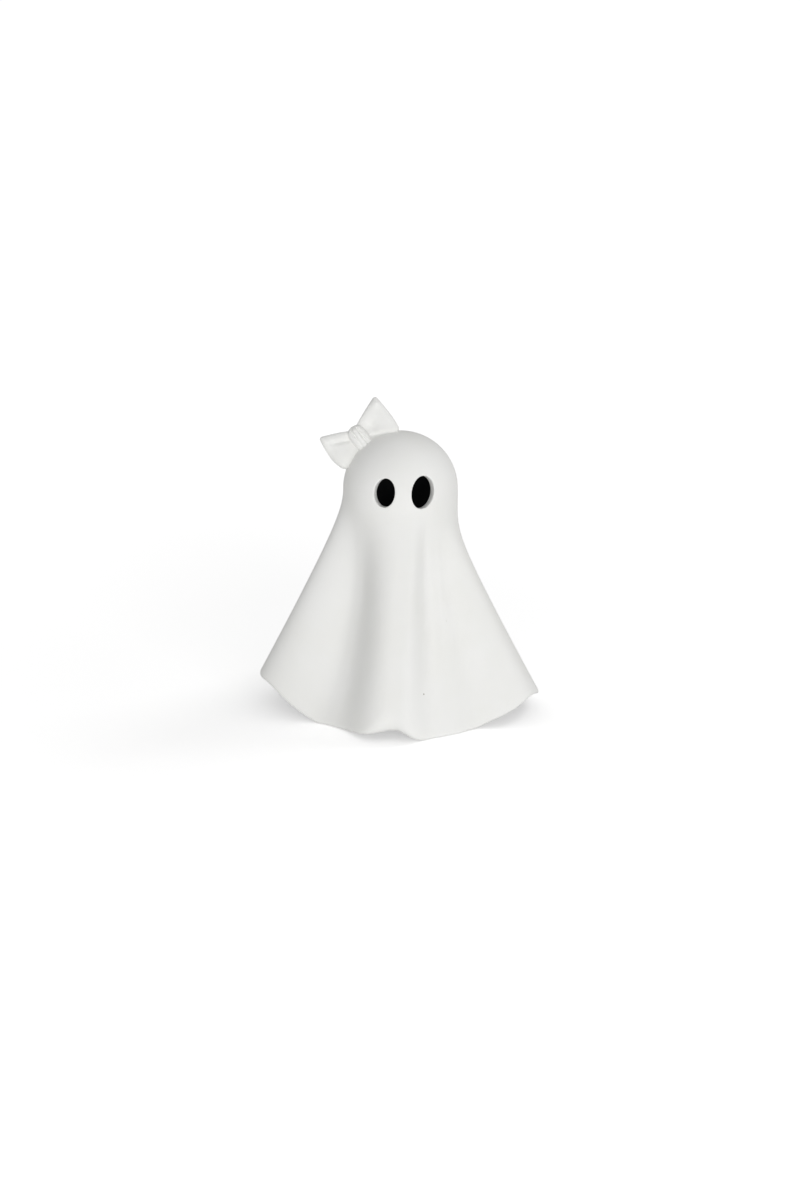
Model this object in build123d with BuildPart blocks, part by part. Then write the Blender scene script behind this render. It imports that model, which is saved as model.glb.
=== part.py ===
from build123d import *
import os
from math import cos, pi, radians, sin
from typing import NamedTuple

# A sheet ghost with a bow, cast hollow in white clay and fired without glaze. It stands on the
# floor at Z = 0 with its face towards -Y, and the origin is the middle of its footprint.
# Lengths are in millimetres. Angles on the sheet run in degrees from the front towards +X.

# Head
head_radius = 18.0  # outside of the dome
head_height = 69.0  # middle of the dome above the floor
axis_x = 0.6  # the head's axis, from the middle of the footprint
axis_y = 1.8
wall = 3.0  # cast wall, measured level

# Eyes, cut through the wall of the head
left_eye_width = 6.6
left_eye_height = 9.0
left_eye_angle = -16.3
left_eye_lean_angle = 4.0  # the top leans towards +X
right_eye_width = 7.4
right_eye_height = 10.2
right_eye_angle = 23.6
right_eye_lean_angle = 8.0
eye_latitude_angle = 11.5  # above the middle of the dome

# Sheet
neck_drop = 7.0  # the valleys leave the head this far below the middle of the dome
easing_share = 0.10  # share of its height over which a fold eases away from the head
foot_sink = 0.8  # how far below the floor an arch starts, so that it leaves a flat foot
back_reach = 46.0  # both folds of the back are alike
back_drop = 4.0
back_lift = 5.5
back_arch = 16.5
back_power = 1.05
back_valley_power = 1.5  # of the three valleys round the back
side_crest_power = 1.2  # of the folds at the sides and the back
pleat_angle = -14.0  # the front fold spans a wider angle towards the head, from this line
pleat_widening_share = 0.5
widening_power = 1.5
widening_span_angle = 90.0  # the widening fades out this far at both sides


class Fold(NamedTuple):
    """A fold of the sheet, which starts in the valley before it."""

    valley_angle: float  # of the valley before the fold
    valley_radius: float  # of that valley on the floor
    valley_power: float  # 1 is a straight valley, above 1 it hangs steeply before it flares
    crest_angle: float  # at the hem
    flat_angle: float  # half width of the crest's flat top
    reach: float  # radius of the crest at its hem
    drop: float  # how far below the middle of the dome the crest leaves the head
    power: float  # 1 is a straight crest, above 1 it flares
    crest_power: float  # 1 is an even wave, above 1 the crest is narrower than the valleys
    lift: float = 0.0  # height of the hem under the crest
    arch_before: float = 0.0  # half widths of the arch under the hem
    arch_after: float = 0.0
    arch_factor: float = 0.5  # 0.5 is an even wave, above 0.5 the arch is fuller


front_fold = Fold(
    valley_angle=-37.0, valley_radius=37.3, valley_power=1.9,
    crest_angle=-2.8, flat_angle=3.2, reach=44.5, drop=1.0, power=0.95, crest_power=1.3,
    lift=3.2, arch_before=25.5, arch_after=12.0,
)
# Right of the front fold the sheet hangs nearly flat, without an arch
right_panel = Fold(
    valley_angle=19.0, valley_radius=40.8, valley_power=1.6,
    crest_angle=26.0, flat_angle=0.0, reach=40.4, drop=neck_drop, power=1.55, crest_power=1.0,
)
right_fold = Fold(
    valley_angle=33.0, valley_radius=39.9, valley_power=1.45,
    crest_angle=61.0, flat_angle=0.0, reach=47.7, drop=7.2, power=1.0, crest_power=side_crest_power,
    lift=7.6, arch_before=20.5, arch_after=26.5,
)
back_right_fold = Fold(
    valley_angle=104.0, valley_radius=36.5, valley_power=back_valley_power,
    crest_angle=145.0, flat_angle=0.0, reach=back_reach, drop=back_drop, power=back_power,
    crest_power=side_crest_power, lift=back_lift, arch_before=back_arch, arch_after=back_arch,
)
back_left_fold = Fold(
    valley_angle=180.0, valley_radius=37.0, valley_power=back_valley_power,
    crest_angle=214.0, flat_angle=0.0, reach=back_reach, drop=back_drop, power=back_power,
    crest_power=side_crest_power, lift=back_lift, arch_before=back_arch, arch_after=back_arch,
)
left_fold = Fold(
    valley_angle=250.0, valley_radius=36.5, valley_power=back_valley_power,
    crest_angle=287.0, flat_angle=0.0, reach=46.75, drop=0.3, power=1.05, crest_power=side_crest_power,
    lift=10.2, arch_before=26.5, arch_after=20.6, arch_factor=0.65,
)

# Bow, which faces forward and a little up, and lies along the slope of the dome
bow_angle = -96.8  # where the knot sits on the dome
bow_latitude_angle = 51.0
bow_stand = 2.3  # middle of the knot above the dome
bow_pitch_angle = 20.0  # how far its face looks up
bow_rise_angle = 37.0  # how far its right loop rises
knot_width = 5.6
knot_height = 9.0
knot_depth = 6.2
knot_pleats = 3
pleat_overlap_factor = 1.4  # how much wider a pleat is than its share of the knot
knot_end_factor = 0.72  # size of the knot's ends against its waist
loop_root = 3.4  # half height of a loop where it enters the knot
loop_crown = 7.2  # from the bow's long axis up to the loop's upper tip
loop_hang = 6.2  # and down to its lower corner, which the dome cuts
loop_rim = 4.4  # thickness at the upper and lower edges
loop_web = 2.8  # thickness of the hollowed middle
loop_edge_factor = 0.8  # share of its height at which a loop is thickest
left_loop_reach = 10.9
right_loop_reach = 11.8
slip_bead = 0.6  # slip between the bow and the dome
slip_length = 15.0
slip_width = 7.0


class LoopSection(NamedTuple):
    """A section across a loop, in shares of the loop's own sizes."""

    place: float  # how far out it lies
    growth: float  # 0 is as high as the root, 1 is up to the tip and down to the lower corner
    fullness: float  # of the thickness


loop_sections = (
    LoopSection(place=0.1, growth=0.0, fullness=0.60),
    LoopSection(place=0.5, growth=0.55, fullness=0.95),
    LoopSection(place=0.88, growth=1.0, fullness=1.0),
    LoopSection(place=1.0, growth=0.86, fullness=0.60),
)

# How finely the sheet is laid out
section_count = 9
section_points = 80

folds = [front_fold, right_panel, right_fold, back_right_fold, back_left_fold, left_fold]
arched_folds = [fold for fold in folds if fold.lift > 0]
head_centre = Vector(axis_x, axis_y, head_height)


def level(height):
    """The level plane at a height, with the head's axis at its middle."""
    return Plane((axis_x, axis_y, height))


def out(angle):
    """The level direction at an angle on the sheet."""
    return Vector(sin(radians(angle)), -cos(radians(angle)), 0)


def dome_direction(angle, latitude_angle):
    """The direction from the middle of the dome to a place on it."""
    latitude = radians(latitude_angle)
    return out(angle) * cos(latitude) + Vector(0, 0, sin(latitude))


def ease(share):
    """From 0 to 1 as share goes from 0 to 1, level at its start."""
    share = max(share, 0.0)
    return share**2 / (share + easing_share) * (1 + easing_share)


def hang(height, drop, power):
    """How far a line of the sheet has spread from the head, from 0 there to 1 on the floor."""
    top = head_height - drop
    return ease((top - height) / top) ** power


def sheet_point(angle, height, inset):
    """A point of the sheet's outline at a height, moved in by inset."""
    apart = (angle - pleat_angle + 180) % 360 - 180
    near = cos(pi / 2 * min(abs(apart) / widening_span_angle, 1)) ** 2
    widening = pleat_widening_share * near * (height / head_height) ** widening_power
    turned = (angle - apart * widening - folds[0].valley_angle) % 360 + folds[0].valley_angle
    index = max(i for i, fold in enumerate(folds) if fold.valley_angle <= turned)
    fold = folds[index]
    following = folds[(index + 1) % len(folds)]
    end = following.valley_angle
    if end <= fold.valley_angle:
        end += 360

    side = fold.valley_angle if turned < fold.crest_angle else end
    past_flat = max(abs(turned - fold.crest_angle) - fold.flat_angle, 0)
    rise = cos(pi / 2 * past_flat / (abs(side - fold.crest_angle) - fold.flat_angle)) ** 2
    across = (turned - fold.valley_angle) / (end - fold.valley_angle)
    blend = across**2 * (3 - 2 * across)
    foot = fold.valley_radius * (1 - blend) + following.valley_radius * blend
    foot_power = fold.valley_power * (1 - blend) + following.valley_power * blend

    valley = head_radius + (foot - head_radius) * hang(height, neck_drop, foot_power)
    spread = hang(height, fold.drop, fold.power) / hang(fold.lift, fold.drop, fold.power)
    crest = head_radius + (fold.reach - head_radius) * spread
    radius = valley + (crest - valley) * rise**fold.crest_power - inset
    place = out(angle) * radius
    return place.X, place.Y


def sheet_outline(height, inset):
    """The sheet's outline, which starts at +X as a circle does."""
    step = 360 / section_points
    return [sheet_point(90 + step * i, height, inset) for i in range(section_points)]


def drape(inset):
    """The solid inside the sheet and the dome, moved in by inset."""
    even_steps = [i / section_points for i in range(section_points + 1)]
    with BuildPart() as solid:
        for i in range(section_count):
            height = head_height * i / section_count
            with BuildSketch(level(height)):
                with BuildLine():
                    add(Edge.make_spline(sheet_outline(height, inset), None, True, even_steps))
                make_face()
        with BuildSketch(level(head_height)):
            Circle(head_radius - inset)
        loft()
        with Locations(head_centre):
            Sphere(head_radius - inset, arc_size1=0, align=(Align.CENTER, Align.CENTER, Align.MIN))
    return solid.part


# Cast shell: head and sheet in one, hollow and open below
eyes = [
    (left_eye_angle, left_eye_width, left_eye_height, left_eye_lean_angle),
    (right_eye_angle, right_eye_width, right_eye_height, right_eye_lean_angle),
]
cavity = drape(wall)
with BuildPart() as ghost_shell:
    add(drape(0))
    add(cavity, mode=Mode.SUBTRACT)
    for angle, width, height, lean in eyes:
        gaze = dome_direction(angle, eye_latitude_angle)
        with BuildSketch(Plane(head_centre, x_dir=out(angle + 90), z_dir=gaze)):
            Ellipse(width / 2, height / 2, rotation=-lean)
        extrude(amount=2 * head_radius, mode=Mode.SUBTRACT)
    for fold in arched_folds:
        facing = out(fold.crest_angle)
        aside = out(fold.crest_angle + 90)
        with BuildSketch(Plane(level(0).origin, x_dir=aside, z_dir=facing)):
            with BuildLine():
                foot_before = (-fold.arch_before, -foot_sink)
                foot_after = (fold.arch_after, -foot_sink)
                crown = (0, fold.lift)
                bend_before = -fold.arch_before * fold.arch_factor
                bend_after = fold.arch_after * fold.arch_factor
                Bezier(foot_before, (bend_before, -foot_sink), (bend_before, fold.lift), crown)
                Bezier(crown, (bend_after, fold.lift), (bend_after, -foot_sink), foot_after)
                Line(foot_after, foot_before)
            make_face()
        extrude(amount=2 * fold.reach, mode=Mode.SUBTRACT)
ghost_shell.part.label = "ghost_shell"

# Bow: its long axis, its height and its face are square to each other
seat = dome_direction(bow_angle, bow_latitude_angle)
face = Vector(0, -cos(radians(bow_pitch_angle)), sin(radians(bow_pitch_angle)))
upright = Vector(0, sin(radians(bow_pitch_angle)), cos(radians(bow_pitch_angle)))
along = Vector(1, 0, 0) * cos(radians(bow_rise_angle)) + upright * sin(radians(bow_rise_angle))
across = face.cross(along)
knot_middle = head_centre + seat * (head_radius + bow_stand)

# Bed of slip that holds the bow on the dome
with BuildPart() as slip_seam:
    with Locations(head_centre):
        Sphere(head_radius + slip_bead)
        Sphere(head_radius, mode=Mode.SUBTRACT)
    with BuildSketch(Plane(head_centre, x_dir=along, z_dir=seat)):
        Ellipse(slip_length / 2, slip_width / 2)
    extrude(amount=2 * head_radius, mode=Mode.INTERSECT)
slip_seam.part.label = "slip_seam"

# Knot: a band of soft pleats round the middle of the bow, full at its waist
pleat_pitch = knot_width / knot_pleats
with BuildPart() as bow_knot:
    for i in range(knot_pleats):
        aside = (i - (knot_pleats - 1) / 2) * pleat_pitch
        pleat = []
        for place, share in ((-0.5, knot_end_factor), (0.0, 1.0), (0.5, knot_end_factor)):
            origin = knot_middle + across * knot_height * place + along * aside * share
            with BuildSketch(Plane(origin, x_dir=along, z_dir=across)) as ring:
                Ellipse(pleat_pitch / 2 * pleat_overlap_factor * share, knot_depth / 2 * share)
            pleat.append(ring.sketch)
        loft(pleat)
    with Locations(head_centre):
        Sphere(head_radius + slip_bead, mode=Mode.SUBTRACT)
bow_knot.part.label = "bow_knot"


def bow_loop(side, reach):
    """One loop of the bow: a wedge with full edges and a hollowed middle. side is 1 or -1."""
    with BuildPart() as loop:
        for place, growth, fullness in loop_sections:
            top = loop_root + (loop_crown - loop_root) * growth
            low = loop_root + (loop_hang - loop_root) * growth
            rim = loop_rim / 2 * fullness
            web = loop_web / 2 * fullness
            origin = knot_middle + along * side * reach * place
            with BuildSketch(Plane(origin, x_dir=across, z_dir=along * side)):
                with BuildLine():
                    Spline(
                        (top, 0),
                        (top * loop_edge_factor, rim),
                        ((top - low) / 2, web),
                        (-low * loop_edge_factor, rim),
                        (-low, 0),
                        (-low * loop_edge_factor, -rim),
                        ((top - low) / 2, -web),
                        (top * loop_edge_factor, -rim),
                        periodic=True,
                    )
                make_face()
        loft()
        add(bow_knot.part, mode=Mode.SUBTRACT)
        with Locations(head_centre):
            Sphere(head_radius + slip_bead, mode=Mode.SUBTRACT)
    return loop


bow_left_loop = bow_loop(-1, left_loop_reach)
bow_left_loop.part.label = "bow_left_loop"
bow_right_loop = bow_loop(1, right_loop_reach)
bow_right_loop.part.label = "bow_right_loop"

os.makedirs("parts", exist_ok=True)
export_step(ghost_shell.part, "parts/ghost_shell.step")
export_step(slip_seam.part, "parts/slip_seam.step")
export_step(bow_knot.part, "parts/bow_knot.step")
export_step(bow_left_loop.part, "parts/bow_left_loop.step")
export_step(bow_right_loop.part, "parts/bow_right_loop.step")
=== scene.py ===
from functools import cache
from math import atan2, copysign, cos, degrees, exp, hypot, pi, radians, sin, sqrt
from typing import NamedTuple

import bmesh
import bpy
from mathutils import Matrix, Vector


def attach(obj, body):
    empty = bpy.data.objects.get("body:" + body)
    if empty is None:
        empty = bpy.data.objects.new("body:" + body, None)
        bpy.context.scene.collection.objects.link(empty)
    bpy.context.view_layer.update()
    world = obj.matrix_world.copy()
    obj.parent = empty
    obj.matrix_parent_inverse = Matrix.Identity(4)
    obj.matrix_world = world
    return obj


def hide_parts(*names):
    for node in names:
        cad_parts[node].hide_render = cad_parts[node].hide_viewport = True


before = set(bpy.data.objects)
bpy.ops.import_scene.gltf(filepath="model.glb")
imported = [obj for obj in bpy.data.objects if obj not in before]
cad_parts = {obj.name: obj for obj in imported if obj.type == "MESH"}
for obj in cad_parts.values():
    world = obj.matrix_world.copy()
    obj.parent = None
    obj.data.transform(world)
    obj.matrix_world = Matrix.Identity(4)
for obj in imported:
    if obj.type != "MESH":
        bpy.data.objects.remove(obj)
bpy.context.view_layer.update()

# Cast shell. The head and the draped sheet are one hollow piece of white clay, slip-cast about
# 3 mm thick and fired without glaze. The eyes were cut through the damp wall and the hem was
# sponged round. The inner wall is painted black down to an uneven edge above the hem: painted
# shade for the dark of the closed hollow, seen through the eyes.
mm = 0.001  # a piece is made in millimetres, with the head's axis at x = y = 0, until it is finished
axis_place = Vector((0.6, 1.8, 0.0))  # of the head, from the middle of the footprint
head_radius = 18.0
head_height = 69.0  # of the middle of the dome
wall = 3.0
lip_height = 1.8  # the hem is sponged round up to this height above its lowest line
neck_drop = 7.0  # the valleys leave the head this far below the middle of the dome
easing = 0.10  # how softly the sheet leaves the head
foot_sink = 0.8  # an arch starts this far below the floor, which leaves a flat foot
foot_blend = 0.3  # how softly an arch runs into the foot
pleat_angle = -14.0  # the front fold widens from this line
pleat_widening = 0.5  # it spans a wider angle towards the head
widening_span = 90.0  # and the widening fades out this many degrees at both sides of the line
widening_power = 1.5  # it grows with this power of the height
roll_lip = 6.2  # the front crest is rolled under: its lip is this much higher
roll_depth = 3.4  # and this much deeper, at both sides of its middle
roll_before = 11.5  # half widths of the roll
roll_after = 12.0
roll_fade = 14.0  # the wall is back to its thickness this far above the lip


class Fold(NamedTuple):
    """A fold of the sheet, which starts in the valley before it. Angles run from the front to +X."""

    valley: float  # angle of the valley before the fold
    valley_radius: float  # of that valley on the floor
    crest: float  # angle of the crest at the hem
    reach: float  # radius of the crest at its hem
    drop: float  # how far below the middle of the dome the crest leaves the head
    lift: float  # height of the hem under the crest
    arch_before: float  # half widths of the arch under the hem
    arch_after: float
    valley_power: float = 1.5  # 1 is a straight valley, above 1 it hangs steeply and then flares
    power: float = 1.05  # 1 is a straight crest, above 1 it flares
    sharpness: float = 1.2  # 1 is an even wave, above 1 the crest is narrower than the valleys
    flat: float = 0.0  # half width of the crest's flat top, in degrees
    fullness: float = 1.0  # 1 is an even wave, above 1 the arch is fuller


folds = [
    Fold(  # the front pleat
        valley=-37.0, valley_radius=37.3, crest=-2.8, reach=44.5, drop=1.0, lift=3.2,
        arch_before=25.5, arch_after=12.0, valley_power=1.9, power=0.95, sharpness=1.3, flat=3.2,
    ),
    Fold(  # the shallow panel to the right of it, whose hem lies on the floor
        valley=19.0, valley_radius=40.8, crest=26.0, reach=40.4, drop=neck_drop, lift=0.0,
        arch_before=1.0, arch_after=1.0, valley_power=1.6, power=1.55, sharpness=1.0,
    ),
    Fold(  # the right side
        valley=33.0, valley_radius=39.9, crest=61.0, reach=47.7, drop=7.2, lift=7.6,
        arch_before=20.5, arch_after=26.5, valley_power=1.45, power=1.0,
    ),
    Fold(  # the right of the back
        valley=104.0, valley_radius=36.5, crest=145.0, reach=46.0, drop=4.0, lift=5.5,
        arch_before=16.5, arch_after=16.5,
    ),
    Fold(  # the left of the back
        valley=180.0, valley_radius=37.0, crest=214.0, reach=46.0, drop=4.0, lift=5.5,
        arch_before=16.5, arch_after=16.5,
    ),
    Fold(  # the left side
        valley=250.0, valley_radius=36.5, crest=287.0, reach=46.75, drop=0.3, lift=10.2,
        arch_before=26.5, arch_after=20.6, fullness=1.4,
    ),
]


def smooth(share):
    """From 0 to 1, level at both ends."""
    share = min(max(share, 0.0), 1.0)
    return share * share * (3 - 2 * share)


def turn_from(start, angle):
    """Degrees from one angle round to another, from -180 to 180."""
    return (angle - start + 180) % 360 - 180


def hang(height, drop, power):
    """How far a line of the sheet has spread from the head, from 0 there to 1 on the floor."""
    top = head_height - drop
    share = max((top - height) / top, 0.0)
    return (share**2 / (share + easing) * (1 + easing)) ** power


def fold_at(angle):
    """The fold that an angle lies in, how far up its crest it is, and the valley's radius and power."""
    turned = (angle - folds[0].valley) % 360 + folds[0].valley
    index = max(i for i, fold in enumerate(folds) if fold.valley <= turned)
    fold = folds[index]
    following = folds[(index + 1) % len(folds)]
    end = following.valley if following.valley > fold.valley else following.valley + 360
    side = fold.valley if turned < fold.crest else end
    apart = max(abs(turned - fold.crest) - fold.flat, 0.0)
    rise = cos(pi / 2 * apart / (abs(side - fold.crest) - fold.flat)) ** 2
    blend = smooth((turned - fold.valley) / (end - fold.valley))
    foot = fold.valley_radius + (following.valley_radius - fold.valley_radius) * blend
    return fold, rise, foot, fold.valley_power + (following.valley_power - fold.valley_power) * blend


def sheet_radius(angle, height):
    """How far the sheet is from the head's axis."""
    apart = turn_from(pleat_angle, angle)
    near = cos(pi / 2 * min(abs(apart) / widening_span, 1.0)) ** 2
    widening = pleat_widening * near * (height / head_height) ** widening_power
    fold, rise, foot, power = fold_at(angle - apart * widening)
    valley = head_radius + (foot - head_radius) * hang(height, neck_drop, power)
    spread = hang(height, fold.drop, fold.power) / hang(fold.lift, fold.drop, fold.power)
    crest = head_radius + (fold.reach - head_radius) * spread
    return valley + (crest - valley) * rise**fold.sharpness


def arch(angle, fold, before, after, fullness):
    """1 under a fold's crest and 0 from before and after millimetres beside it, with a wave between."""
    apart = radians(turn_from(fold.crest, angle))
    if abs(apart) > pi / 2:
        return 0.0
    aside = sheet_radius(angle, 0) * sin(apart)
    return smooth(1 - (abs(aside) / (after if aside > 0 else before)) ** fullness)


@cache
def hem_height(angle):
    """The hem rises in an arch under each crest and is flat on the floor in the valleys."""
    height = -foot_sink
    for fold in folds:
        share = arch(angle, fold, fold.arch_before, fold.arch_after, fold.fullness)
        height += (fold.lift + foot_sink) * share
    return (height + hypot(height, foot_blend)) / 2


@cache
def roll(angle):
    """How far the hem is rolled under, from 0 to 1 under the front crest."""
    return arch(angle, folds[0], roll_before, roll_after, 1.0)


def out(angle):
    """The level direction at an angle from the front."""
    return Vector((sin(radians(angle)), -cos(radians(angle)), 0))


def direction(angle, latitude):
    """The direction at an angle from the front and at a latitude above the level."""
    return out(angle) * cos(radians(latitude)) + Vector((0, 0, sin(radians(latitude))))


# The wall is spun as a plain bell: dome, straight side, round lip, and the same again inside.
around = 240
dome_rows = 48
side_rows = 72
lip_rows = 10
weld = 0.001  # places nearer to each other than this are one
head_centre = Vector((0, 0, head_height))


def wall_line(inset):
    """Radius and height of the dome and the side from the top down, moved in from the outer wall."""
    radius = head_radius - inset
    turns = [pi / 2 * (1 - i / dome_rows) for i in range(dome_rows)]
    dome = [(radius * cos(turn), head_height + radius * sin(turn)) for turn in turns]
    drop = (head_height - lip_height) / side_rows
    return dome + [(radius, head_height - drop * i) for i in range(side_rows + 1)]


def spun(points, steps):
    """A line of radius and height points, spun round the upright axis and closed there."""
    edit = bmesh.new()
    line = [edit.verts.new((radius, 0, height)) for radius, height in points]
    edges = [edit.edges.new(pair) for pair in zip(line, line[1:])]
    bmesh.ops.spin(
        edit, geom=line + edges, cent=(0, 0, 0), axis=(0, 0, 1), angle=2 * pi, steps=steps, use_merge=True
    )
    bmesh.ops.remove_doubles(edit, verts=edit.verts, dist=weld)
    return edit


lip_turns = [pi * i / lip_rows for i in range(1, lip_rows)]
lip_line = [(head_radius - wall / 2 * (1 - cos(t)), lip_height * (1 - sin(t))) for t in lip_turns]
shell = spun(wall_line(0) + lip_line + wall_line(wall)[::-1], around)

# Eyes: a block of the wall is taken out and filled again, ring by ring, up to the cut's soft rim,
# through the wall and on to the same block of the inner wall.
eye_latitude = 11.5
eye_margin = 1.6  # from the cut to the edge of the block
eye_rim = 0.5  # the cut edge is sponged to this radius
blend_rings = 4
rim_rings = 5
through_rings = 4


def cut_eye(angle, width, height, lean):
    """An upright oval eye at an angle from the front. lean tips its top to the right, in degrees."""
    gaze = direction(angle, eye_latitude)
    level = out(angle + 90)
    steep = gaze.cross(level)
    side = level * cos(radians(lean)) - steep * sin(radians(lean))
    upright = steep * cos(radians(lean)) + level * sin(radians(lean))

    def on_wall(across, up, inset):
        """The place on the wall, moved in by inset, that is in line with the eye."""
        radius = head_radius - inset
        flat = side * across + upright * up
        place = flat + gaze * sqrt(radius**2 - flat.length_squared)
        if place.z < 0:
            a, b = gaze.xy.length_squared, flat.xy.dot(gaze.xy)
            c = flat.xy.length_squared - radius**2
            place = flat + gaze * ((sqrt(b * b - a * c) - b) / a)
        return head_centre + place

    def in_block(face):
        middle = face.calc_center_median() - head_centre
        turn = turn_from(angle, degrees(atan2(middle.x, -middle.y)))
        level_radius = hypot(middle.x, middle.y)
        rise = atan2(middle.z, level_radius) if middle.z > 0 else middle.z / head_radius
        wide = degrees((width / 2 + eye_margin) / head_radius / cos(radians(eye_latitude)))
        high = degrees((height / 2 + eye_margin) / head_radius)
        return abs(turn) < wide and abs(degrees(rise) - eye_latitude) < high

    block = [face for face in shell.faces if in_block(face)]
    inner = {
        edge
        for face in block
        for edge in face.edges
        if (edge.verts[0].co - head_centre).length < head_radius - wall / 2
    }
    bmesh.ops.delete(shell, geom=block, context="FACES_ONLY")
    loose = [e for e in shell.edges if e.is_wire]
    bmesh.ops.delete(shell, geom=loose, context="EDGES")
    bmesh.ops.delete(shell, geom=[v for v in shell.verts if not v.link_edges], context="VERTS")
    border = [e for e in shell.edges if e.is_boundary]
    inner_border = [e for e in border if e in inner]
    ring = [e for e in border if e not in inner]

    start = {}
    for vert in {v for e in ring for v in e.verts}:
        place = vert.co - head_centre
        across, up = place.dot(side), place.dot(upright)
        start[vert] = (across, up, atan2(up / height, across / width))

    def next_ring(ring, start, place):
        """Extrudes a ring of edges and puts each new vertex where place says."""
        made = bmesh.ops.extrude_edge_only(shell, edges=ring)["geom"]
        verts = {g for g in made if isinstance(g, bmesh.types.BMVert)}
        carried = {}
        for vert in verts:
            old = next(e.other_vert(vert) for e in vert.link_edges if e.other_vert(vert) in start)
            carried[vert] = start[old]
            vert.co = place(*start[old])
        edges = [g for g in made if isinstance(g, bmesh.types.BMEdge)]
        return [e for e in edges if e.verts[0] in verts and e.verts[1] in verts], carried

    def cut(turn, growth):
        """Across and up on the oval, made larger by growth all round."""
        return (width / 2 + growth) * cos(turn), (height / 2 + growth) * sin(turn)

    for i in range(1, blend_rings + 1):
        share = i / blend_rings

        def place(across, up, turn):
            to = cut(turn, eye_rim)
            return on_wall(across + (to[0] - across) * share, up + (to[1] - up) * share, 0)

        ring, start = next_ring(ring, start, place)
    for i in range(1, rim_rings + 1):
        bend = pi / 2 * i / rim_rings
        growth, depth = eye_rim * (1 - sin(bend)), eye_rim * (1 - cos(bend))
        ring, start = next_ring(ring, start, lambda a, u, t: on_wall(*cut(t, growth), depth))
    for i in range(1, through_rings + 1):
        depth = eye_rim + (wall - eye_rim) * i / through_rings
        ring, start = next_ring(ring, start, lambda a, u, t: on_wall(*cut(t, 0), depth))
    bmesh.ops.bridge_loops(shell, edges=ring + inner_border)


cut_eye(angle=-16.8, width=6.6, height=9.0, lean=4.0)
cut_eye(angle=23.9, width=7.4, height=10.2, lean=15.0)

# The inner wall is painted black down to an uneven edge above the hem: painted shade of the
# closed hollow.
inner_shade_edge = 16.0
inner_shade_fade = 10.0  # height over which the painted shade's edge runs out
unshaded = -10.0  # so far from the edge that the painted shade never shows
near_wall = 0.01
inner_shade = shell.verts.layers.float.new("inner_shade")
for vert in shell.verts:
    radius = hypot(vert.co.x, vert.co.y)
    if vert.co.z > head_height:
        radius = (vert.co - head_centre).length
    inside = radius < head_radius - wall + near_wall
    vert[inner_shade] = (vert.co.z - inner_shade_edge) / inner_shade_fade if inside else unshaded

# Then the bell is draped: below the dome each place moves out to the folds of the sheet. Angles are
# rounded, so that the places of a column share one hem height.
angle_digits = 3
for vert in shell.verts:
    if vert.co.z < head_height:
        inset = head_radius - hypot(vert.co.x, vert.co.y)
        angle = round(degrees(atan2(vert.co.x, -vert.co.y)), angle_digits)
        hem = hem_height(angle)
        lip = lip_height + roll_lip * roll(angle)
        if vert.co.z < lip_height:
            height = hem + vert.co.z * lip / lip_height
        else:
            share = (vert.co.z - lip_height) / (head_height - lip_height)
            height = hem + lip + share * (head_height - hem - lip)
        thicker = roll(angle) * smooth(1 - (height - hem - lip) / roll_fade)
        inset *= 1 + 2 * roll_depth / wall * thicker
        vert.co = out(angle) * (sheet_radius(angle, height) - inset)
        vert.co.z = height


def finish_piece(name, mesh_edit, material):
    """Brings a piece to metres in its place, turns its faces outwards and hands it to the frame."""
    bmesh.ops.translate(mesh_edit, vec=axis_place, verts=mesh_edit.verts)
    bmesh.ops.scale(mesh_edit, vec=(mm, mm, mm), verts=mesh_edit.verts)
    bmesh.ops.recalc_face_normals(mesh_edit, faces=mesh_edit.faces)
    for face in mesh_edit.faces:
        face.smooth = True
    mesh = bpy.data.meshes.new(name)
    mesh_edit.to_mesh(mesh)
    mesh_edit.free()
    mesh.materials.append(material)
    piece = bpy.data.objects.new(name, mesh)
    bpy.context.scene.collection.objects.link(piece)
    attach(piece, "root")
    return piece


def linear(colour):
    """An sRGB hex colour as linear red, green, blue and alpha."""
    parts = [int(colour[i : i + 2], 16) / 255 for i in (1, 3, 5)]
    return [c / 12.92 if c <= 0.04045 else ((c + 0.055) / 1.055) ** 2.4 for c in parts] + [1.0]


def add_node(tree, kind, inputs, **settings):
    """Adds a node with its settings. An input is a value, or an output that is linked to it."""
    node = tree.nodes.new(kind)
    for name, value in settings.items():
        setattr(node, name, value)
    for name, value in inputs.items():
        if isinstance(value, bpy.types.NodeSocket):
            tree.links.new(value, node.inputs[name])
        else:
            node.inputs[name].default_value = value
    return node


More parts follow.
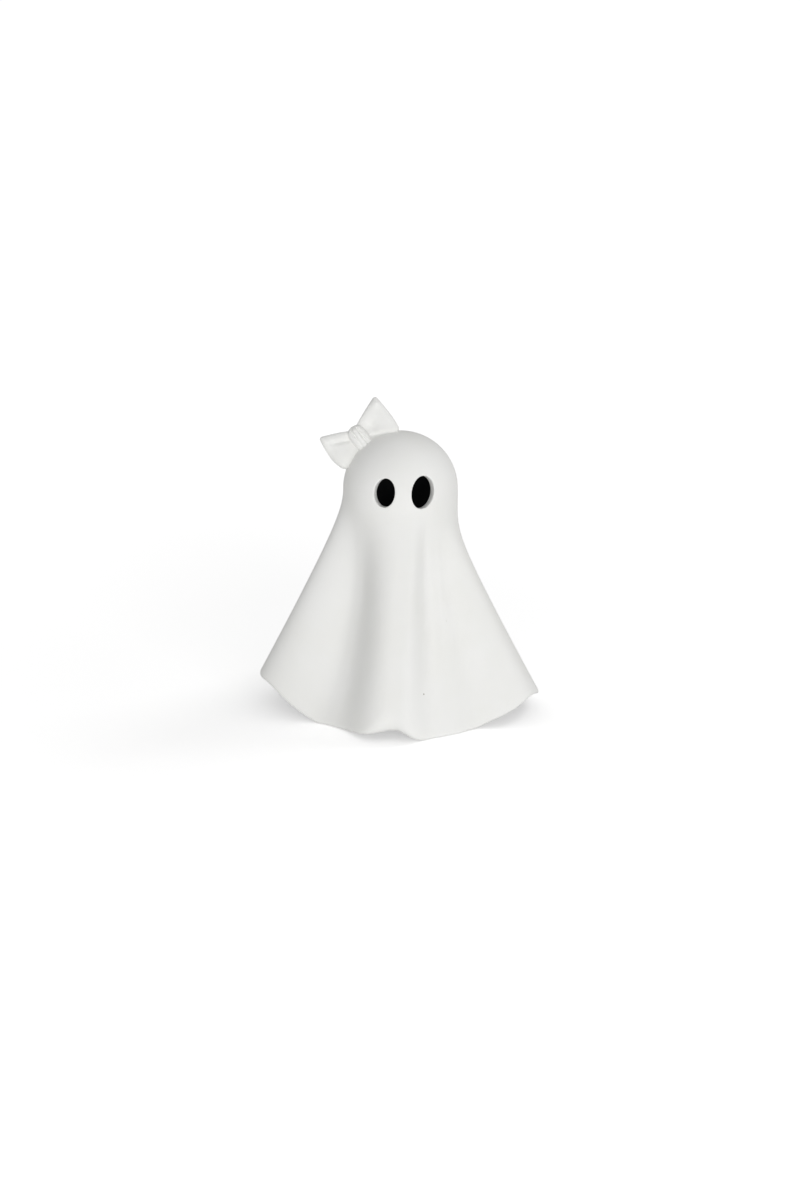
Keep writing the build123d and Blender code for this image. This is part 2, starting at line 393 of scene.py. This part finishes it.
def bisque_material(name, paint_inner_shade):
    """White bisque: fired clay with no glaze. Dull and chalky, a little uneven in tone, with the
    fine tooth of the mould and a few pinholes, whose grey is painted shade in the holes.
    Its second argument adds painted shade: black on the inner wall of the hollow."""
    shade_tone = "#EBEBE8"
    light_tone = "#EDEDEB"
    # grey of the pinholes: painted shade in tiny holes, which have no depth in the mesh
    pinhole_shade_tone = "#A8A49B"
    # black of the painted shade on the inner wall of the hollow
    inner_shade_tone = "#141416"
    cloud_size = 14.0
    cloud_low, cloud_high = 0.35, 0.65  # the middle of the noise, where most of it lies
    tooth_size = 0.45  # drawn coarser than the real grain, which is too fine to show
    tooth_height = 0.1
    pinhole_spacing = 8.0
    pinhole_share = 0.035  # radius of the largest, as a share of the spacing
    pinhole_low, pinhole_high = 0.62, 0.9  # a cell's draw: none below the first, largest at the second
    mix_a, mix_b, mixed = 6, 7, 2  # the colour sockets of a Mix node, two in and one out
    material = bpy.data.materials.new(name)
    material.use_nodes = True
    tree = material.node_tree
    surface = tree.nodes["Principled BSDF"]
    place = add_node(tree, "ShaderNodeTexCoord", {}).outputs["Object"]
    cloud = add_node(
        tree, "ShaderNodeTexNoise", {"Vector": place, "Scale": 1 / (cloud_size * mm), "Detail": 3.0}
    )
    tone = add_node(tree, "ShaderNodeValToRGB", {"Fac": cloud.outputs["Fac"]})
    tone.color_ramp.elements[0].position = cloud_low
    tone.color_ramp.elements[0].color = linear(shade_tone)
    tone.color_ramp.elements[1].position = cloud_high
    tone.color_ramp.elements[1].color = linear(light_tone)
    # Pinholes: scattered dots coloured grey, painted shade in the holes.
    cells = add_node(
        tree, "ShaderNodeTexVoronoi", {"Vector": place, "Scale": 1 / (pinhole_spacing * mm)}
    )
    chosen = add_node(
        tree,
        "ShaderNodeMapRange",
        {
            "Value": cells.outputs["Color"],
            "From Min": pinhole_low,
            "From Max": pinhole_high,
            "To Max": pinhole_share,
        },
    )
    pinhole = add_node(
        tree,
        "ShaderNodeMath",
        {0: cells.outputs["Distance"], 1: chosen.outputs["Result"]},
        operation="LESS_THAN",
    )
    pinhole_shaded = add_node(
        tree,
        "ShaderNodeMix",
        {"Factor": pinhole.outputs[0], mix_a: tone.outputs["Color"], mix_b: linear(pinhole_shade_tone)},
        data_type="RGBA",
    )
    colour = pinhole_shaded.outputs[mixed]
    # Painted shade: black on the inner wall of the hollow, with an uneven edge above the hem.
    if paint_inner_shade:
        depth = add_node(tree, "ShaderNodeAttribute", {}, attribute_name="inner_shade")
        uneven_reach = add_node(
            tree, "ShaderNodeMath", {0: depth.outputs["Fac"], 1: cloud.outputs["Fac"]}, operation="ADD"
        )
        black = add_node(
            tree,
            "ShaderNodeMapRange",
            {"Value": uneven_reach.outputs[0], "From Min": cloud_low, "From Max": cloud_high},
        )
        inner_shaded = add_node(
            tree,
            "ShaderNodeMix",
            {"Factor": black.outputs["Result"], mix_a: colour, mix_b: linear(inner_shade_tone)},
            data_type="RGBA",
        )
        colour = inner_shaded.outputs[mixed]
    tooth = add_node(
        tree, "ShaderNodeTexNoise", {"Vector": place, "Scale": 1 / (tooth_size * mm), "Detail": 2.0}
    )
    bump = add_node(
        tree,
        "ShaderNodeBump",
        {"Height": tooth.outputs["Fac"], "Strength": 0.15, "Distance": tooth_height * mm},
    )
    tree.links.new(colour, surface.inputs["Base Color"])
    tree.links.new(bump.outputs["Normal"], surface.inputs["Normal"])
    surface.inputs["Roughness"].default_value = 0.82
    surface.inputs["IOR"].default_value = 1.5
    surface.inputs["Specular IOR Level"].default_value = 0.3
    return material


body_bisque = bisque_material("white_bisque_inner_shade", paint_inner_shade=True)
ghost = finish_piece("ghost_shell_cast", shell, body_bisque)
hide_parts("ghost_shell")

# Slip seam. The bow is stuck on with slip, liquid clay that fills the gap between the bow and the
# dome. It is smoothed with a wet finger, so it is a low mound that runs out into the dome.
bow_angle = -96.8  # where the bow sits on the dome
bow_latitude = 51.0
bow_pitch = radians(20.0)  # how far its face looks up
bow_rise = radians(37.0)  # how far its right loop rises
bow_stand = 2.3  # middle of the knot above the dome
slip_bead = 0.6
slip_length = 15.0
slip_width = 7.0
slip_bed = 0.4  # how far the mound's under side is sunk into the dome
mound_rows = 14
mound_around = 72
mound_edge = 8  # the higher, the nearer to its edge the mound turns down into the dome
seat = direction(bow_angle, bow_latitude)
face = Vector((0, -cos(bow_pitch), sin(bow_pitch)))
upright = Vector((0, sin(bow_pitch), cos(bow_pitch)))
along = Vector((1, 0, 0)) * cos(bow_rise) + upright * sin(bow_rise)
across = face.cross(along)
knot_middle = head_centre + seat * (head_radius + bow_stand)

# The mound is spun with a radius of 1, and then laid along the bow on the dome.
shares = [i / mound_rows for i in range(mound_rows + 1)]
upper = [(share, slip_bead * (1 - share**2) ** 2 - slip_bed * share**mound_edge) for share in shares]
lower = [(share, -slip_bed) for share in shares[-2::-1]]
mound = spun(upper + lower, mound_around)
lengthwise = (along - seat * along.dot(seat)).normalized()
crosswise = seat.cross(lengthwise)
for vert in mound.verts:
    aside = lengthwise * vert.co.x * slip_length / 2 + crosswise * vert.co.y * slip_width / 2
    towards = aside + seat * sqrt(head_radius**2 - aside.length_squared)
    vert.co = head_centre + towards * (1 + vert.co.z / head_radius)
slip_bisque = bisque_material("white_slip", paint_inner_shade=False)
slip = finish_piece("slip_seam_mound", mound, slip_bisque)
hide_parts("slip_seam")

# Bow knot. A band of the same clay wrapped round the middle of the bow, with soft pleats pressed
# into it, barrel-shaped, and bedded in the slip at its foot.
knot_half_width = 2.95
knot_half_depth = 3.1
knot_top = 4.35
knot_foot = -4.4
knot_ends = 0.74  # how wide its ends are, as a share of its middle
knot_swell = 0.8  # 1 is an even barrel, below 1 it is fuller
knot_section = 0.65  # 1 is a round section, below 1 it is squarer
knot_top_round = 0.82  # how far up it the top, and how far down it the foot, start to round off
knot_foot_round = 0.9
knot_pleats = 3
pleat_depth = 0.8
pleat_sharpness = 6  # the higher, the narrower the grooves
groove_least = 0.35  # the grooves on the left are only this share as deep at the foot
groove_from = 0.35  # and deepen from this share of the height on, over the next one
groove_span = 0.4
knot_rows = 40
knot_around = 120
wrap_weld = 0.01
bow_bisque = bisque_material("white_bisque_bow", paint_inner_shade=False)


def bow_place(length, height, depth):
    """A place on the bow: along it, across it, and towards the front."""
    return knot_middle + along * length + across * height + face * depth


def wrap_grid(along_segments, ring_segments, place):
    """A grid rolled into a closed tube: place takes the share along it and the turn around it."""
    edit = bmesh.new()
    bmesh.ops.create_grid(edit, x_segments=along_segments, y_segments=ring_segments, size=1.0)
    for vert in edit.verts:
        vert.co = place((vert.co.x + 1) / 2, (vert.co.y + 1) * pi)
    bmesh.ops.remove_doubles(edit, verts=edit.verts, dist=wrap_weld)
    bmesh.ops.holes_fill(edit, edges=[e for e in edit.edges if e.is_boundary], sides=0)
    return edit


def round_end(share, start):
    """1 up to start, then a quarter round to 0 at share 1."""
    past = max(share - start, 0.0) / (1 - start)
    return sqrt(max(1 - past**2, 0.0))


def knot_place(share, turn):
    height = knot_foot + (knot_top - knot_foot) * share
    barrel = knot_ends + (1 - knot_ends) * sin(pi * share) ** knot_swell
    close = min(round_end(share, knot_top_round), round_end(1 - share, knot_foot_round))
    width = knot_half_width * barrel * close * cos(turn)
    pleat = (cos(turn) + 1) / 2 * knot_pleats
    groove = abs(cos(pi * pleat)) ** pleat_sharpness * abs(sin(turn))
    if pleat < knot_pleats / 2:
        groove *= groove_least + (1 - groove_least) * smooth((share - groove_from) / groove_span)
    depth = knot_half_depth * barrel * abs(sin(turn)) ** knot_section - pleat_depth * groove
    return bow_place(width, height, copysign(depth * close, sin(turn)))


knot_band = wrap_grid(knot_rows, knot_around, knot_place)
knot = finish_piece("bow_knot_band", knot_band, bow_bisque)
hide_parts("bow_knot")

# Bow loops. Each loop is a flap of clay, pinched thin where it enters the knot and flared to a
# soft thick edge. Its middle is dished with a finger, and one crease fans out from the knot.
loop_start = 1.0  # from the middle of the knot
loop_root = 3.5  # half height where it enters the knot
loop_crown = 8.0  # from the bow's long axis up to the tip, before it is rounded
loop_hang = 6.2  # and down to the lower corner
loop_rim = 3.4  # thickness at the upper and lower edges
loop_web = 2.4  # thickness of the dished middle
loop_dish = 0.75  # share of the half height at which the dish ends
loop_pinch = 0.55  # thickness at the knot, as a share of the full one
loop_pinch_end = 0.7  # share of the length at which it is full
loop_flare = 0.85  # 1 is a straight edge from the knot to the tip, below 1 it is full
loop_edge = 6  # the higher, the squarer the upper and lower edges
loop_bow = 3  # the higher, the nearer to its end the loop starts to bow out
tip_round = 1.4
edge_round = 1.5
relief_half = 1.0  # half thickness from which on the relief has its full height
crease_past = 0.15  # a crease runs this share of its length past both ends
crease_fade_in = 0.3  # and fades over these shares of it
crease_fade_out = 0.5
loop_rows = 56
loop_around = 96


def relief(length, height, swells, crease):
    """How far a loop's face stands out at a place: soft round swells, which are dents where their
    rise is below 0, and one crease along a line."""
    at = Vector((length, height))
    total = 0.0
    for rise, middle, size in swells:
        total += rise * exp(-(at - Vector(middle)).length_squared / size**2)
    depth, start, end, width = crease
    line = Vector(end) - Vector(start)
    share = (at - Vector(start)).dot(line) / line.length_squared
    off = (at - Vector(start) - line * share).length
    fade_in = smooth((share + crease_past) / crease_fade_in)
    fade_out = smooth((1 + crease_past - share) / crease_fade_out)
    return total - depth * exp(-((off / width) ** 2)) * fade_in * fade_out


def loop_piece(name, node, side, reach, bow_out, corner_round, swells, crease):
    """A loop on one side of the knot: -1 is the left, 1 the right."""

    def place(share, turn):
        share = sin(share * pi / 2)
        length = loop_start + (reach - loop_start) * share
        past = reach - length
        top = loop_root + (loop_crown - loop_root) * share**loop_flare
        low = loop_root + (loop_hang - loop_root) * share
        if past < tip_round:
            top -= tip_round - sqrt(tip_round**2 - (tip_round - past) ** 2)
        if past < corner_round:
            low -= corner_round - sqrt(corner_round**2 - (corner_round - past) ** 2)
        across_share = cos(turn)
        height = top * across_share if across_share > 0 else low * across_share
        length += bow_out * (1 - across_share**2) * share**loop_bow
        thick = loop_web + (loop_rim - loop_web) * smooth(abs(across_share) / loop_dish)
        thick *= loop_pinch + (1 - loop_pinch) * smooth(share / loop_pinch_end)
        half = thick * sqrt(max(1 - across_share**loop_edge, 0.0)) / 2
        if past < edge_round:
            half *= sqrt(max(1 - ((edge_round - past) / edge_round) ** 2, 0.0))
        rise = relief(length, height, swells, crease) * min(half / relief_half, 1.0)
        return bow_place(side * length, height, half + rise if sin(turn) > 0 else -half)

    piece = finish_piece(name, wrap_grid(loop_rows, loop_around, place), bow_bisque)
    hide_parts(node)


# A swell is its rise, middle and size, and a crease its depth, start, end and width. Places are
# along the bow from the knot, and across it.
loop_piece(
    "bow_left_loop_flap",
    "bow_left_loop",
    side=-1,
    reach=10.4,
    bow_out=0.7,
    corner_round=3.2,
    swells=[(0.8, (6.6, -0.6), 3.2), (-0.5, (10.0, 2.5), 2.0)],
    crease=(0.7, (2.6, 1.2), (9.2, 4.4), 0.6),
)
loop_piece(
    "bow_right_loop_flap",
    "bow_right_loop",
    side=1,
    reach=11.9,
    bow_out=0.3,
    corner_round=2.4,
    swells=[(0.5, (9.4, 0.3), 2.2), (0.5, (10.2, 5.6), 1.3), (-1.1, (5.0, 0.8), 1.9)],
    crease=(0.7, (2.8, -1.4), (8.8, -4.0), 0.6),
)

# Studio. The figure stands on a sheet of matt white paper that runs on behind it. Two wide lamps
# stand low in front, one behind it on the right throws the shadow, and white walls give the rest.
paper_half_size = 3.0  # metres, as all sizes of the studio
paper_tone = "#F3F3F3"
paper_white = 0.42  # what the camera sees beyond the light on the paper, which burns out to white; kept lower near the figure, which paints its shadow there darker
far_white = 0.60  # and the same further off, where less of the lamps' light falls
white_from, white_to = 0.10, 0.50  # distances from the figure between which it grows
wall_light = 0.475
wall_white = 1.0  # what the camera sees of the walls
lamp_distance = 1.1
lamp_target = Vector((0.0, 0.002, 0.045))
lamps = [  # turn from the front to +X and height, in degrees, then watts, width and height
    ("key_lamp", 20.0, 8.0, 4.2, 0.7, 0.35),
    ("left_lamp", -20.0, 8.0, 1.9, 0.7, 0.35),
    ("back_lamp", 118.0, 44.0, 1.9, 0.35, 0.35),
]
paper_edit = bmesh.new()
bmesh.ops.create_grid(paper_edit, x_segments=1, y_segments=1, size=paper_half_size)
paper_mesh = bpy.data.meshes.new("studio_paper")
paper_edit.to_mesh(paper_mesh)
paper_edit.free()
paper = bpy.data.objects.new("studio_paper", paper_mesh)
bpy.context.scene.collection.objects.link(paper)


def seen_white(tree, unseen, seen):
    """A strength for the rays of the camera and of mirror images, and another for the light itself."""
    ray = add_node(tree, "ShaderNodeLightPath", {}).outputs
    straight = add_node(
        tree, "ShaderNodeMath", {0: ray["Is Camera Ray"], 1: ray["Is Glossy Ray"]}, operation="ADD"
    )
    either = add_node(
        tree,
        "ShaderNodeMath",
        {0: straight.outputs[0], 1: ray["Is Transmission Ray"]},
        operation="ADD",
        use_clamp=True,
    )
    strength = add_node(
        tree, "ShaderNodeMapRange", {"Value": either.outputs[0], "To Min": unseen, "To Max": seen}
    )
    return strength.outputs["Result"]


# White paper: even in colour, dull and without a sheen. The glow the camera sees on it is weaker near
# the figure, which paints the shade there darker, and stronger far off, where it paints in light.
paper_material = bpy.data.materials.new("white_paper")
paper_material.use_nodes = True
paper_tree = paper_material.node_tree
paper_surface = paper_tree.nodes["Principled BSDF"]
paper_surface.inputs["Base Color"].default_value = linear(paper_tone)
paper_surface.inputs["Roughness"].default_value = 1.0
paper_surface.inputs["Specular IOR Level"].default_value = 0.0
paper_surface.inputs["Emission Color"].default_value = linear("#FFFFFF")
paper_place = add_node(paper_tree, "ShaderNodeTexCoord", {}).outputs["Object"]
far_off = add_node(paper_tree, "ShaderNodeVectorMath", {0: paper_place}, operation="LENGTH")
growing_white = add_node(
    paper_tree,
    "ShaderNodeMapRange",
    {
        "Value": far_off.outputs["Value"],
        "From Min": white_from,
        "From Max": white_to,
        "To Min": paper_white,
        "To Max": far_white,
    },
)
# Painted shade and light: the paper glows less near the figure and more far off.
paper_glow = seen_white(paper_tree, 0.0, growing_white.outputs["Result"])
paper_tree.links.new(paper_glow, paper_surface.inputs["Emission Strength"])
paper_mesh.materials.append(paper_material)

world = bpy.data.worlds.new("white_walls")
world.use_nodes = True
walls = world.node_tree.nodes["Background"]
walls.inputs["Color"].default_value = linear("#FFFFFF")
wall_glow = seen_white(world.node_tree, wall_light, wall_white)
world.node_tree.links.new(wall_glow, walls.inputs["Strength"])
bpy.context.scene.world = world

for name, turn, rise, watts, width, height in lamps:
    light = bpy.data.lights.new(name, "AREA")
    light.shape = "RECTANGLE"
    light.energy = watts
    light.size = width
    light.size_y = height
    lamp = bpy.data.objects.new(name, light)
    lamp.location = lamp_target + direction(turn, rise) * lamp_distance
    lamp.rotation_euler = (lamp_target - lamp.location).to_track_quat("-Z", "Y").to_euler()
    bpy.context.scene.collection.objects.link(lamp)

# The camera looks at the figure from the front and a little above.
image_width, image_height = 800, 1200
pixel = 0.322  # millimetres that a pixel of the image spans at the foot of the head's axis
foot_x, foot_y = 400.5, 692.0  # pixel of that foot
tilt = radians(20.0)
camera = bpy.data.cameras.new("camera")
camera.lens = 85.0
camera.sensor_fit = "VERTICAL"
camera.sensor_height = 36.0
distance = camera.lens / camera.sensor_height * image_height * pixel
back = Vector((0, -cos(tilt), sin(tilt)))
left = Vector((-1, 0, 0))
up = Vector((0, sin(tilt), cos(tilt)))
shift = left * (foot_x - image_width / 2) + up * (foot_y - image_height / 2)
camera_object = bpy.data.objects.new("camera", camera)
camera_object.location = (axis_place + back * distance + shift * pixel) * mm
camera_object.rotation_euler = (pi / 2 - tilt, 0, 0)
bpy.context.scene.collection.objects.link(camera_object)
bpy.context.scene.camera = camera_object
bpy.context.scene.view_settings.view_transform = "Standard"
